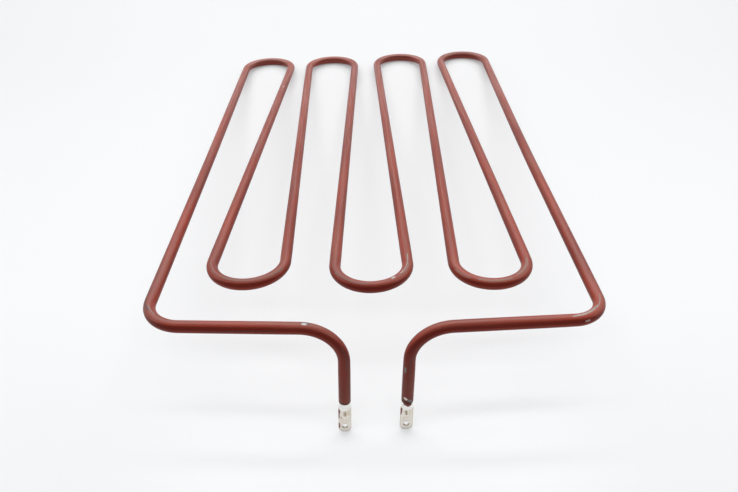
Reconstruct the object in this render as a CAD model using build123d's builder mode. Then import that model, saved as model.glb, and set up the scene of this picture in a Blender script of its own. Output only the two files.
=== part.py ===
from build123d import *
import math
import os

# Tubular heating element, standing on its two terminal tabs with the far
# bends of the serpentine on the floor.  Millimetres and degrees.
#
# Frame: X across the legs, Y from the terminals towards the far bends, Z up.
# The floor is Z = 0 and the origin is the bottom centre of the whole element.
# The serpentine is bent in one flat plane, the element plane, which slopes
# down from the cross runs to the far bends.

# ------------------------------------------------------- driving dimensions
TUBE_OD = 8.5          # sheath
TUBE_WALL = 0.75
SHEATH_RIM_R = 0.5     # outer rim of the cut ends
COIL_OD = 3.4          # envelope of the resistance winding
WIRE_D = 0.5
PIN_D = 2.5            # cold pin
PIN_TIP_LENGTH = 8.0   # stepped-down inner end that the winding is screwed onto

PLANE_TILT = 9.915     # slope of the element plane
SEAT_GAP = 0.0         # clearance of the far bends over the floor

# far bends, left to right: centre x, apex y, bend radius on the centreline
FAR_BENDS = [
    (-120.84, 477.40, 27.92),
    (-41.97, 476.90, 28.30),
    (42.31, 479.30, 28.37),
    (121.46, 481.60, 27.87),
]
# near bends, left to right
NEAR_BENDS = [
    (-88.55, 4.85, 26.84),
    (1.01, -2.31, 26.39),
    (86.88, -2.54, 26.20),
]
# sharp corner between each outer run and its cross run, and its bend radius
CORNER_LEFT, CORNER_LEFT_R = (-149.96, -37.09), 26.36
CORNER_RIGHT, CORNER_RIGHT_R = (151.96, -42.09), 21.05
# the outer runs are bowed inwards a little: middle point and radius of each bow
BOW_LEFT, BOW_LEFT_R = (-148.85, 205.0), 9000.0
BOW_RIGHT, BOW_RIGHT_R = (148.60, 205.0), 9000.0
# each cross run's heading towards its leg, and the leg's x
CROSS_LEFT, KNEE_LEFT_X, KNEE_LEFT_R = (1.0, -0.0611), -17.55, 27.70
CROSS_RIGHT, KNEE_RIGHT_X, KNEE_RIGHT_R = (-1.0, -0.0358), 25.63, 28.40
# direction of each leg in the element plane's frame
LEG_LEFT = (-0.037, 0.009, -1.0)
LEG_RIGHT = (-0.031, 0.033, -1.0)

# along each leg, measured from the sharp corner of its knee
SHEATH_END_LEFT, SHEATH_END_RIGHT = 66.5, 67.3
SEAL_DEPTH = 3.5       # seal's mouth lies this deep in the sheath
SEAL_LENGTH = 5.0
COLD_RUN = 45.0        # pin's reach into the cross run, past the knee bend

BUSH_OD = 9.0
BUSH_LENGTH = 5.5      # outside the sheath
BUSH_SPIGOT_D = 6.8

TAB_WIDTH = 9.0
TAB_THICK = 1.5
TAB_BACK = 0.3         # tab's back face, in front of the pin's axis
TAB_GAP = 0.4          # between the bush and the tab
TAB_CORNER_R = 4.0
TAB_HOLE_D = 4.3       # clears an M4 screw
TAB_HOLE_UP = 5.7      # hole centre above the tab's end
PIN_ON_TAB = 12.0      # flattened pin length welded behind the tab

R_OUT = TUBE_OD / 2
R_IN = R_OUT - TUBE_WALL


# ------------------------------------------------- centreline in the plane
def tangent(c1, r1, s1, c2, r2, s2):
    """Straight run from bend 1 to bend 2; s is +1 where the bend turns left, -1 where it turns right."""
    dx, dy = c2[0] - c1[0], c2[1] - c1[1]
    length = math.hypot(dx, dy)
    b = -math.asin((s2 * r2 - s1 * r1) / length)
    ex, ey = dx / length, dy / length
    d = (ex * math.cos(b) - ey * math.sin(b), ey * math.cos(b) + ex * math.sin(b))
    n = (-d[1], d[0])
    return (
        (c1[0] - s1 * r1 * n[0], c1[1] - s1 * r1 * n[1]),
        (c2[0] - s2 * r2 * n[0], c2[1] - s2 * r2 * n[1]),
    )


def bend(before, corner, after, radius):
    """Start, middle and end of the arc that rounds a corner."""
    p, a, b = Vector(*corner), Vector(*before), Vector(*after)
    u, v = (a - p).normalized(), (b - p).normalized()
    half = math.radians(u.get_angle(v)) / 2
    reach = radius / math.tan(half)
    middle = (u + v).normalized() * (radius / math.sin(half) - radius)
    return tuple(p + u * reach), tuple(p + middle), tuple(p + v * reach)


def arc_middle(centre, radius, a, b, s):
    """Middle of the arc from a to b round centre."""
    a0 = math.atan2(a[1] - centre[1], a[0] - centre[0])
    a1 = math.atan2(b[1] - centre[1], b[0] - centre[0])
    while s > 0 and a1 < a0:
        a1 += 2 * math.pi
    while s < 0 and a1 > a0:
        a1 -= 2 * math.pi
    m = (a0 + a1) / 2
    return (centre[0] + radius * math.cos(m), centre[1] + radius * math.sin(m))


def knee(corner, heading, x):
    """Sharp corner between a cross run and its leg."""
    return (x, corner[1] + heading[1] / heading[0] * (x - corner[0]), 0)


KNEE_LEFT = knee(CORNER_LEFT, CROSS_LEFT, KNEE_LEFT_X)
KNEE_RIGHT = knee(CORNER_RIGHT, CROSS_RIGHT, KNEE_RIGHT_X)


def down(knee_point, leg, h):
    """Point h along a leg from its knee, in the plane's frame."""
    t = Vector(*leg).normalized()
    return tuple(Vector(*knee_point) + t * h)


# ----------------------------------------------- where the element plane lies
# Far bends touch the floor, the lowest pair on both sides, so the plane also
# rolls by the difference between the two outer far bends.
tilt = math.radians(PLANE_TILT)
(x1, y1, _), (x4, y4, _) = FAR_BENDS[0], FAR_BENDS[3]
roll = math.atan2((y4 - y1) * math.sin(tilt), x4 - x1)

plane_x = Vector(math.cos(roll), 0, math.sin(roll))
slope = Vector(0, math.cos(tilt), -math.sin(tilt))
plane_z = plane_x.cross(slope).normalized()


def element_at(x, y, z):
    return Plane(origin=(x, y, z), x_dir=plane_x, z_dir=plane_z)


def lowest(plane, bends):
    return min(plane.from_local_coords((x, y, 0)).Z for x, y, r in bends)


flat = element_at(0, 0, 0)
seat_z = R_OUT + SEAT_GAP - lowest(flat, FAR_BENDS)
flat = element_at(0, 0, seat_z)


def leg_frame(plane, knee_point, leg):
    """Frame of a leg: origin at the knee, Z down the leg, X across, Y to the front."""
    top = plane.from_local_coords(Vector(*knee_point))
    foot = plane.from_local_coords(down(knee_point, leg, 100))
    z_dir = (foot - top).normalized()
    x_dir = (Vector(1, 0, 0) - z_dir * z_dir.X).normalized()
    return Plane(origin=top, x_dir=x_dir, z_dir=z_dir)


def tab_end(frame):
    """Length from the knee at which the tab's lower edge meets the floor."""
    half = TAB_WIDTH / 2 - TAB_CORNER_R
    drops = []
    for side in (-half, half):
        for front in (TAB_BACK, TAB_BACK + TAB_THICK):
            p = frame.from_local_coords((side, front, 0))
            drops.append(p.Z / -frame.z_dir.Z)
    return min(drops)


# the origin is the bottom centre of the element's box
frames = [leg_frame(flat, KNEE_LEFT, LEG_LEFT), leg_frame(flat, KNEE_RIGHT, LEG_RIGHT)]
fronts = [
    f.from_local_coords((0, TAB_BACK + TAB_THICK, tab_end(f))).Y for f in frames
]
low_y = min(fronts)
high_y = max(flat.from_local_coords((x, y, 0)).Y for x, y, r in FAR_BENDS) + R_OUT
left_run = tangent(
    BOW_LEFT, 0, -1, (x1, y1 - FAR_BENDS[0][2]), FAR_BENDS[0][2], -1
)
right_run = tangent(
    (x4, y4 - FAR_BENDS[3][2]), FAR_BENDS[3][2], -1, BOW_RIGHT, 0, -1
)
corner_l = bend(KNEE_LEFT, (*CORNER_LEFT, 0), (*BOW_LEFT, 0), CORNER_LEFT_R)
corner_r = bend((*BOW_RIGHT, 0), (*CORNER_RIGHT, 0), KNEE_RIGHT, CORNER_RIGHT_R)
bow_l = bend((*CORNER_LEFT, 0), (*BOW_LEFT, 0), (*left_run[1], 0), BOW_LEFT_R)
bow_r = bend((*right_run[0], 0), (*BOW_RIGHT, 0), (*CORNER_RIGHT, 0), BOW_RIGHT_R)


def bend_centre(a, m, b, radius, corner):
    away = (Vector(*m) - Vector(*corner, 0)).normalized()
    return Vector(*m) + away * radius


centre_l = bend_centre(*corner_l, CORNER_LEFT_R, CORNER_LEFT)
centre_r = bend_centre(*corner_r, CORNER_RIGHT_R, CORNER_RIGHT)
low_x = (centre_l.X - CORNER_LEFT_R) * plane_x.X - R_OUT
high_x = (centre_r.X + CORNER_RIGHT_R) * plane_x.X + R_OUT

element = element_at(-(low_x + high_x) / 2, -(low_y + high_y) / 2, seat_z)
left_leg = leg_frame(element, KNEE_LEFT, LEG_LEFT)
right_leg = leg_frame(element, KNEE_RIGHT, LEG_RIGHT)
TAB_END_LEFT, TAB_END_RIGHT = tab_end(left_leg), tab_end(right_leg)

# circles of the serpentine in the order the tube runs through them
circles = [(BOW_LEFT, 0.0, -1)]
for i in range(4):
    x, y, r = FAR_BENDS[i]
    circles.append(((x, y - r), r, -1))
    if i < 3:
        x, y, r = NEAR_BENDS[i]
        circles.append(((x, y + r), r, +1))
circles.append((BOW_RIGHT, 0.0, -1))
runs = [tangent(*circles[i], *circles[i + 1]) for i in range(8)]

knee_l = bend(down(KNEE_LEFT, LEG_LEFT, 60), KNEE_LEFT, (*CORNER_LEFT, 0), KNEE_LEFT_R)
knee_r = bend(
    (*CORNER_RIGHT, 0), KNEE_RIGHT, down(KNEE_RIGHT, LEG_RIGHT, 60), KNEE_RIGHT_R
)


def along(a, b, distance):
    a, b = Vector(*a), Vector(*b)
    return tuple(a + (b - a).normalized() * distance)


def draw_element(left_start, right_end, left_reach=None, right_reach=None):
    """Centreline from a point on the left to a point on the right.

    left_start and right_end are lengths down the legs; the reaches, where they
    are given, start and end the line that far past the knees instead."""
    if left_reach is None:
        Line(down(KNEE_LEFT, LEG_LEFT, left_start), knee_l[0])
        ThreePointArc(*knee_l)
        Line(knee_l[2], corner_l[0])
    else:
        Line(along(knee_l[2], corner_l[0], left_reach), corner_l[0])
    ThreePointArc(*corner_l)
    Line(corner_l[2], bow_l[0])
    ThreePointArc(*bow_l)
    Line(bow_l[2], (*runs[0][1], 0))
    for i in range(1, 8):
        centre, radius, s = circles[i]
        a, b = runs[i - 1][1], runs[i][0]
        ThreePointArc((*a, 0), (*arc_middle(centre, radius, a, b, s), 0), (*b, 0))
        if i < 7:
            Line((*b, 0), (*runs[i][1], 0))
    Line((*runs[7][0], 0), bow_r[0])
    ThreePointArc(*bow_r)
    Line(bow_r[2], corner_r[0])
    ThreePointArc(*corner_r)
    if right_reach is None:
        Line(corner_r[2], knee_r[0])
        ThreePointArc(*knee_r)
        Line(knee_r[2], down(KNEE_RIGHT, LEG_RIGHT, right_end))
    else:
        Line(corner_r[2], along(knee_r[0], corner_r[2], right_reach))


def section_at(path):
    return Plane(origin=path @ 0, z_dir=path % 0)


os.makedirs("parts", exist_ok=True)

# ------------------------------------------------------------------- sheath
with BuildPart() as sheath:
    with BuildLine(element) as sheath_line:
        draw_element(SHEATH_END_LEFT, SHEATH_END_RIGHT)
    sheath_path = sheath_line.wires()[0]
    with BuildSketch(section_at(sheath_path)) as sheath_ring:
        Circle(R_OUT)
        Circle(R_IN, mode=Mode.SUBTRACT)
    sweep(path=sheath_path)
    # the cut ends are rounded over at the outer rim
    for leg, end in ((left_leg, SHEATH_END_LEFT), (right_leg, SHEATH_END_RIGHT)):
        rim = leg.from_local_coords((0, R_OUT, end))
        fillet(
            sheath.edges().filter_by(GeomType.CIRCLE).sort_by_distance(rim)[:1],
            SHEATH_RIM_R,
        )
sheath.part.label = "sheath"
export_step(sheath.part, "parts/sheath.step")

# ---------------------------------------------------------------- cold pins
# A straight pin behind the tab, through the bush and the seal, up the leg,
# round the knee and into the cross run, with a stepped tip for the winding.
PIN_END_LEFT = SHEATH_END_LEFT + BUSH_LENGTH + TAB_GAP + PIN_ON_TAB
PIN_END_RIGHT = SHEATH_END_RIGHT + BUSH_LENGTH + TAB_GAP + PIN_ON_TAB

with BuildPart() as cold_pin_left:
    with BuildLine(element) as pin_l_line:
        Line(down(KNEE_LEFT, LEG_LEFT, PIN_END_LEFT), knee_l[0])
        ThreePointArc(*knee_l)
        Line(knee_l[2], along(knee_l[2], corner_l[0], COLD_RUN))
    pin_l_path = pin_l_line.wires()[0]
    with BuildSketch(section_at(pin_l_path)):
        Circle(PIN_D / 2)
    sweep(path=pin_l_path)
    tip_l = Plane(
        origin=element.from_local_coords(along(knee_l[2], corner_l[0], COLD_RUN)),
        z_dir=element.from_local_coords(corner_l[0])
        - element.from_local_coords(knee_l[2]),
    )
    with BuildSketch(tip_l):
        Circle(COIL_OD / 2 - WIRE_D)
    extrude(amount=PIN_TIP_LENGTH)
    # flat that the tab is welded to
    with BuildSketch(
        Plane(
            origin=left_leg.from_local_coords(
                (0, TAB_BACK, SHEATH_END_LEFT + BUSH_LENGTH + TAB_GAP)
            ),
            x_dir=left_leg.x_dir,
            z_dir=left_leg.z_dir,
        )
    ):
        with Locations((0, PIN_D / 2)):
            Rectangle(2 * PIN_D, PIN_D)
    extrude(amount=PIN_ON_TAB + 1, mode=Mode.SUBTRACT)
cold_pin_left.part.label = "cold_pin_left"
export_step(cold_pin_left.part, "parts/cold_pin_left.step")

with BuildPart() as cold_pin_right:
    with BuildLine(element) as pin_r_line:
        Line(down(KNEE_RIGHT, LEG_RIGHT, PIN_END_RIGHT), knee_r[2])
        ThreePointArc(knee_r[2], knee_r[1], knee_r[0])
        Line(knee_r[0], along(knee_r[0], corner_r[2], COLD_RUN))
    pin_r_path = pin_r_line.wires()[0]
    with BuildSketch(section_at(pin_r_path)):
        Circle(PIN_D / 2)
    sweep(path=pin_r_path)
    tip_r = Plane(
        origin=element.from_local_coords(along(knee_r[0], corner_r[2], COLD_RUN)),
        z_dir=element.from_local_coords(corner_r[2])
        - element.from_local_coords(knee_r[0]),
    )
    with BuildSketch(tip_r):
        Circle(COIL_OD / 2 - WIRE_D)
    extrude(amount=PIN_TIP_LENGTH)
    with BuildSketch(
        Plane(
            origin=right_leg.from_local_coords(
                (0, TAB_BACK, SHEATH_END_RIGHT + BUSH_LENGTH + TAB_GAP)
            ),
            x_dir=right_leg.x_dir,
            z_dir=right_leg.z_dir,
        )
    ):
        with Locations((0, PIN_D / 2)):
            Rectangle(2 * PIN_D, PIN_D)
    extrude(amount=PIN_ON_TAB + 1, mode=Mode.SUBTRACT)
cold_pin_right.part.label = "cold_pin_right"
export_step(cold_pin_right.part, "parts/cold_pin_right.step")

# ------------------------------------------------------------- heating coil
# The winding is held as the tube that its turns fill.
with BuildPart() as heating_coil:
    with BuildLine(element) as coil_line:
        draw_element(0, 0, COLD_RUN, COLD_RUN)
    coil_path = coil_line.wires()[0]
    with BuildSketch(section_at(coil_path)):
        Circle(COIL_OD / 2)
        Circle(COIL_OD / 2 - WIRE_D, mode=Mode.SUBTRACT)
    sweep(path=coil_path)
heating_coil.part.label = "heating_coil"
export_step(heating_coil.part, "parts/heating_coil.step")

# ------------------------------------------------------------ magnesia fill
# Compacted powder that fills the sheath from seal to seal: a sleeve round the
# pins, a sleeve round the winding, and the core inside the winding.
FILL_LEFT = SHEATH_END_LEFT - SEAL_DEPTH - SEAL_LENGTH
FILL_RIGHT = SHEATH_END_RIGHT - SEAL_DEPTH - SEAL_LENGTH
with BuildPart() as magnesia_fill:
    with BuildLine(element) as fill_l_line:
        Line(down(KNEE_LEFT, LEG_LEFT, FILL_LEFT), knee_l[0])
        ThreePointArc(*knee_l)
        Line(knee_l[2], along(knee_l[2], corner_l[0], COLD_RUN))
    fill_l_path = fill_l_line.wires()[0]
    with BuildSketch(section_at(fill_l_path)):
        Circle(R_IN)
        Circle(PIN_D / 2, mode=Mode.SUBTRACT)
    sweep(path=fill_l_path)
    with BuildSketch(section_at(coil_path)):
        Circle(R_IN)
        Circle(COIL_OD / 2, mode=Mode.SUBTRACT)
    sweep(path=coil_path)
    with BuildLine(element) as fill_r_line:
        Line(down(KNEE_RIGHT, LEG_RIGHT, FILL_RIGHT), knee_r[2])
        ThreePointArc(knee_r[2], knee_r[1], knee_r[0])
        Line(knee_r[0], along(knee_r[0], corner_r[2], COLD_RUN))
    fill_r_path = fill_r_line.wires()[0]
    with BuildSketch(section_at(fill_r_path)):
        Circle(R_IN)
        Circle(PIN_D / 2, mode=Mode.SUBTRACT)
    sweep(path=fill_r_path)
    with BuildLine(element) as core_line:
        draw_element(0, 0, COLD_RUN + PIN_TIP_LENGTH, COLD_RUN + PIN_TIP_LENGTH)
    core_path = core_line.wires()[0]
    with BuildSketch(section_at(core_path)):
        Circle(COIL_OD / 2 - WIRE_D)
    sweep(path=core_path)
magnesia_fill.part.label = "magnesia_fill"
export_step(magnesia_fill.part, "parts/magnesia_fill.step")


# ------------------------------------------------------------ sealed ends
def at_leg(leg, h, y=0.0):
    """Plane across a leg at length h from its knee."""
    return Plane(
        origin=leg.from_local_coords((0, y, h)), x_dir=leg.x_dir, z_dir=leg.z_dir
    )


with BuildPart() as end_seal_left:
    with BuildSketch(at_leg(left_leg, FILL_LEFT)):
        Circle(R_IN)
        Circle(PIN_D / 2, mode=Mode.SUBTRACT)
    extrude(amount=SEAL_LENGTH)
end_seal_left.part.label = "end_seal_left"
export_step(end_seal_left.part, "parts/end_seal_left.step")

with BuildPart() as end_seal_right:
    with BuildSketch(at_leg(right_leg, FILL_RIGHT)):
        Circle(R_IN)
        Circle(PIN_D / 2, mode=Mode.SUBTRACT)
    extrude(amount=SEAL_LENGTH)
end_seal_right.part.label = "end_seal_right"
export_step(end_seal_right.part, "parts/end_seal_right.step")

with BuildPart() as end_bush_left:
    with BuildSketch(at_leg(left_leg, SHEATH_END_LEFT)):
        Circle(BUSH_OD / 2)
    extrude(amount=BUSH_LENGTH)
    fillet(end_bush_left.edges().filter_by(GeomType.CIRCLE), 0.6)
    with BuildSketch(at_leg(left_leg, SHEATH_END_LEFT - SEAL_DEPTH)):
        Circle(BUSH_SPIGOT_D / 2)
    extrude(amount=SEAL_DEPTH + 1)
    with BuildSketch(at_leg(left_leg, SHEATH_END_LEFT - SEAL_DEPTH)):
        Circle(PIN_D / 2)
    extrude(amount=SEAL_DEPTH + BUSH_LENGTH, mode=Mode.SUBTRACT)
end_bush_left.part.label = "end_bush_left"
export_step(end_bush_left.part, "parts/end_bush_left.step")

with BuildPart() as end_bush_right:
    with BuildSketch(at_leg(right_leg, SHEATH_END_RIGHT)):
        Circle(BUSH_OD / 2)
    extrude(amount=BUSH_LENGTH)
    fillet(end_bush_right.edges().filter_by(GeomType.CIRCLE), 0.6)
    with BuildSketch(at_leg(right_leg, SHEATH_END_RIGHT - SEAL_DEPTH)):
        Circle(BUSH_SPIGOT_D / 2)
    extrude(amount=SEAL_DEPTH + 1)
    with BuildSketch(at_leg(right_leg, SHEATH_END_RIGHT - SEAL_DEPTH)):
        Circle(PIN_D / 2)
    extrude(amount=SEAL_DEPTH + BUSH_LENGTH, mode=Mode.SUBTRACT)
end_bush_right.part.label = "end_bush_right"
export_step(end_bush_right.part, "parts/end_bush_right.step")


# ------------------------------------------------------------ terminal tabs
# Tab sketches lie in the tab's back face: X across, Y up the leg from the
# tab's end, and the normal points to the front.
def tab_face(leg, end):
    return Plane(
        origin=leg.from_local_coords((0, TAB_BACK, end)),
        x_dir=leg.x_dir,
        z_dir=leg.y_dir,
    )


TAB_TOP_LEFT = SHEATH_END_LEFT + BUSH_LENGTH + TAB_GAP
TAB_TOP_RIGHT = SHEATH_END_RIGHT + BUSH_LENGTH + TAB_GAP

with BuildPart() as terminal_tab_left:
    length = TAB_END_LEFT - TAB_TOP_LEFT
    with BuildSketch(tab_face(left_leg, TAB_END_LEFT)) as tab_l_outline:
        with Locations((0, length / 2)):
            Rectangle(TAB_WIDTH, length)
        fillet(tab_l_outline.vertices().sort_by(Axis.Y)[:2], TAB_CORNER_R)
        with Locations((0, TAB_HOLE_UP)):
            Circle(TAB_HOLE_D / 2, mode=Mode.SUBTRACT)
    extrude(amount=TAB_THICK)
terminal_tab_left.part.label = "terminal_tab_left"
export_step(terminal_tab_left.part, "parts/terminal_tab_left.step")

with BuildPart() as terminal_tab_right:
    length = TAB_END_RIGHT - TAB_TOP_RIGHT
    with BuildSketch(tab_face(right_leg, TAB_END_RIGHT)) as tab_r_outline:
        with Locations((0, length / 2)):
            Rectangle(TAB_WIDTH, length)
        fillet(tab_r_outline.vertices().sort_by(Axis.Y)[:2], TAB_CORNER_R)
        with Locations((0, TAB_HOLE_UP)):
            Circle(TAB_HOLE_D / 2, mode=Mode.SUBTRACT)
    extrude(amount=TAB_THICK)
terminal_tab_right.part.label = "terminal_tab_right"
export_step(terminal_tab_right.part, "parts/terminal_tab_right.step")

# ---------------------------------------------------------------- measures
print("plane origin", element.origin, "roll", math.degrees(roll))
print("sheath line", round(sheath_path.length, 2), "coil line", round(coil_path.length, 2))
print(
    "sheath volume / section x length",
    round(
        sheath.part.volume
        / (math.pi * (R_OUT**2 - R_IN**2) * sheath_path.length),
        5,
    ),
)
print("tab ends", round(TAB_END_LEFT, 3), round(TAB_END_RIGHT, 3))
for name, leg, end in (
    ("left", left_leg, TAB_END_LEFT),
    ("right", right_leg, TAB_END_RIGHT),
):
    hole = leg.from_local_coords((0, TAB_BACK + TAB_THICK / 2, end - TAB_HOLE_UP))
    print(name, "hole", hole, "normal", leg.y_dir, "down", leg.z_dir, "across", leg.x_dir, "knee", leg.origin)
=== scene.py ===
import math
import bpy
import bmesh
import numpy as np
from mathutils import Matrix, Vector, noise


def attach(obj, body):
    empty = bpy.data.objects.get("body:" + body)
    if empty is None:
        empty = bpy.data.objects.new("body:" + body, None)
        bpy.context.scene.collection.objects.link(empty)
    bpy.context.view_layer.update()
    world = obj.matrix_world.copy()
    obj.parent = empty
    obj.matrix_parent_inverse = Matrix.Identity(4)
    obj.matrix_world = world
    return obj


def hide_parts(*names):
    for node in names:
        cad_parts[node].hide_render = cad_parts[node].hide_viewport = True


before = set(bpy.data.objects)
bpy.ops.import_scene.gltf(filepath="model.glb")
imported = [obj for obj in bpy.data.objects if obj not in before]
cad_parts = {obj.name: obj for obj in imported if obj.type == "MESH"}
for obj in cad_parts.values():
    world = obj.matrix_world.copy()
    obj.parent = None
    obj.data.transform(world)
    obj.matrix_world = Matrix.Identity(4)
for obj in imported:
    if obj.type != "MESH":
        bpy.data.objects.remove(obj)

scene = bpy.context.scene
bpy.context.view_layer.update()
MM = 0.001

# ---------------------------------------------------------------- geometry
# The same numbers as the construction: the element plane, the bends, the legs.
TILT = math.radians(9.915)
FAR = [(-120.84, 477.40, 27.92), (-41.97, 476.90, 28.30), (42.31, 479.30, 28.37), (121.46, 481.60, 27.87)]
NEAR = [(-88.55, 4.85, 26.84), (1.01, -2.31, 26.39), (86.88, -2.54, 26.20)]
CORNER_L, CORNER_L_R = np.array([-149.96, -37.09]), 26.36
CORNER_R, CORNER_R_R = np.array([151.96, -42.09]), 21.05
BOW_L, BOW_R, BOW_RADIUS = np.array([-148.85, 205.0]), np.array([148.60, 205.0]), 9000.0
KNEE_L, KNEE_L_R = np.array([-17.55, -37.09 - 0.0611 * (-17.55 + 149.96), 0.0]), 27.70
KNEE_R, KNEE_R_R = np.array([25.63, -42.09 + 0.0358 * (25.63 - 151.96), 0.0]), 28.40
LEG_L = np.array([-0.037, 0.009, -1.0])
LEG_R = np.array([-0.031, 0.033, -1.0])
ROLL = math.atan2((481.60 - 477.40) * math.sin(TILT), 121.46 + 120.84)
ORIGIN = np.array([-0.917975, -208.361, 86.812])
R_OUT, R_IN = 4.25, 3.5
END_L, END_R = 66.5, 67.3
BUSH_LEN, BUSH_R, TAB_GAP = 5.5, 4.5, 0.4
TAB_W, TAB_T, TAB_BACK, TAB_CORNER, TAB_HOLE_R, TAB_HOLE_UP = 9.0, 1.5, 0.3, 4.0, 2.15, 5.7
TAB_END_L, TAB_END_R = 95.913, 95.919

PX = np.array([math.cos(ROLL), 0.0, math.sin(ROLL)])
PZ = np.cross(PX, np.array([0.0, math.cos(TILT), -math.sin(TILT)]))
PZ /= np.linalg.norm(PZ)
PY = np.cross(PZ, PX)
M = np.stack([PX, PY, PZ], 1)


def to_row(p):
    """Element-plane millimetres to row-frame millimetres."""
    return ORIGIN + np.asarray(p, float) @ M.T


def unit(v):
    v = np.asarray(v, float)
    return v / np.linalg.norm(v)


def tangent(c1, r1, s1, c2, r2, s2):
    d = np.subtract(c2, c1)
    length = math.hypot(*d)
    b = -math.asin((s2 * r2 - s1 * r1) / length)
    e = d / length
    ep = np.array([-e[1], e[0]])
    d = math.cos(b) * e + math.sin(b) * ep
    n = np.array([-d[1], d[0]])
    return np.array(c1) - s1 * r1 * n, np.array(c2) - s2 * r2 * n


def v3(p):
    return np.array([p[0], p[1], p[2] if len(p) > 2 else 0.0])


circles = [(BOW_L, 0.0, -1)]
for i in range(4):
    x, y, r = FAR[i]
    circles.append((np.array([x, y - r]), r, -1))
    if i < 3:
        x, y, r = NEAR[i]
        circles.append((np.array([x, y + r]), r, 1))
circles.append((BOW_R, 0.0, -1))
RUNS = [tangent(*circles[i], *circles[i + 1]) for i in range(8)]


class Route:
    """Centreline of straight runs and tangent arcs, in row millimetres."""

    def __init__(self):
        self.parts = []

    def line(self, a, b):
        self.parts.append(("line", v3(a), v3(b)))

    def fillet(self, before, corner, after, radius):
        p, a, b = v3(corner), v3(before), v3(after)
        u, v = unit(a - p), unit(b - p)
        half = math.acos(float(np.clip(u @ v, -1, 1))) / 2
        reach = radius / math.tan(half)
        start, stop = p + u * reach, p + v * reach
        centre = p + unit(u + v) * radius / math.sin(half)
        self.arc(centre, start, stop, math.pi - 2 * half)
        return start, stop

    def arc(self, centre, start, stop, sweep):
        e1 = unit(start - centre)
        radius = np.linalg.norm(start - centre)
        w = (stop - centre) - e1 * ((stop - centre) @ e1)
        self.parts.append(("arc", centre, e1, w, radius, sweep))

    def flat_arc(self, centre, radius, a, b, s):
        a0 = math.atan2(a[1] - centre[1], a[0] - centre[0])
        a1 = math.atan2(b[1] - centre[1], b[0] - centre[0])
        while s > 0 and a1 < a0:
            a1 += 2 * math.pi
        while s < 0 and a1 > a0:
            a1 -= 2 * math.pi
        self.parts.append(("turn", np.array([centre[0], centre[1], 0.0]), radius, a0, a1))

    def sample(self, run_step, bend_step):
        """Points, tangents, arc lengths and bend curvature vectors along the route."""
        pts, tans, curv = [], [], []
        for part in self.parts:
            if part[0] == "line":
                _, a, b = part
                length = np.linalg.norm(b - a)
                n = max(1, int(round(length / run_step)))
                t = (b - a) / length
                for k in range(n + 1):
                    pts.append(a + (b - a) * k / n)
                    tans.append(t)
                    curv.append(np.zeros(3))
            elif part[0] == "turn":
                _, c, r, a0, a1 = part
                n = max(4, int(round(abs(a1 - a0) / math.radians(bend_step))))
                s = 1.0 if a1 > a0 else -1.0
                for k in range(n + 1):
                    a = a0 + (a1 - a0) * k / n
                    e = np.array([math.cos(a), math.sin(a), 0.0])
                    pts.append(c + r * e)
                    tans.append(s * np.array([-math.sin(a), math.cos(a), 0.0]))
                    curv.append(-e / r)
            else:
                _, c, e1, w, r, sweep = part
                e2 = unit(w)
                n = max(4, int(round(abs(sweep) / math.radians(bend_step))))
                for k in range(n + 1):
                    a = sweep * k / n
                    e = math.cos(a) * e1 + math.sin(a) * e2
                    pts.append(c + r * e)
                    tans.append(-math.sin(a) * e1 + math.cos(a) * e2)
                    curv.append(-e / r)
        pts, tans, curv = map(np.array, (pts, tans, curv))
        keep = np.r_[True, np.linalg.norm(np.diff(pts, axis=0), axis=1) > 1e-4]
        pts, tans, curv = pts[keep], tans[keep], curv[keep]
        s = np.r_[0, np.cumsum(np.linalg.norm(np.diff(pts, axis=0), axis=1))]
        return pts, tans, s, curv


def full_route(left_end, right_end):
    route = Route()
    tl, tr = unit(LEG_L), unit(LEG_R)
    left_foot, right_foot = KNEE_L + tl * left_end, KNEE_R + tr * right_end
    probe = Route()
    k0, k1 = probe.fillet(left_foot, KNEE_L, v3(CORNER_L), KNEE_L_R)
    c0, c1 = probe.fillet(KNEE_L, v3(CORNER_L), v3(BOW_L), CORNER_L_R)
    b0, b1 = probe.fillet(v3(CORNER_L), v3(BOW_L), v3(RUNS[0][1]), BOW_RADIUS)
    e0, e1 = probe.fillet(v3(RUNS[7][0]), v3(BOW_R), v3(CORNER_R), BOW_RADIUS)
    d0, d1 = probe.fillet(v3(BOW_R), v3(CORNER_R), KNEE_R, CORNER_R_R)
    g0, g1 = probe.fillet(v3(CORNER_R), KNEE_R, right_foot, KNEE_R_R)
    route.line(left_foot, k0)
    route.fillet(left_foot, KNEE_L, v3(CORNER_L), KNEE_L_R)
    route.line(k1, c0)
    route.fillet(KNEE_L, v3(CORNER_L), v3(BOW_L), CORNER_L_R)
    route.line(c1, b0)
    route.fillet(v3(CORNER_L), v3(BOW_L), v3(RUNS[0][1]), BOW_RADIUS)
    route.line(b1, RUNS[0][1])
    for i in range(1, 8):
        centre, radius, s = circles[i]
        route.flat_arc(centre, radius, RUNS[i - 1][1], RUNS[i][0], s)
        if i < 7:
            route.line(RUNS[i][0], RUNS[i][1])
    route.line(RUNS[7][0], e0)
    route.fillet(v3(RUNS[7][0]), v3(BOW_R), v3(CORNER_R), BOW_RADIUS)
    route.line(e1, d0)
    route.fillet(v3(BOW_R), v3(CORNER_R), KNEE_R, CORNER_R_R)
    route.line(d1, g0)
    route.fillet(v3(CORNER_R), KNEE_R, right_foot, KNEE_R_R)
    route.line(g1, right_foot)
    return route


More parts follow.
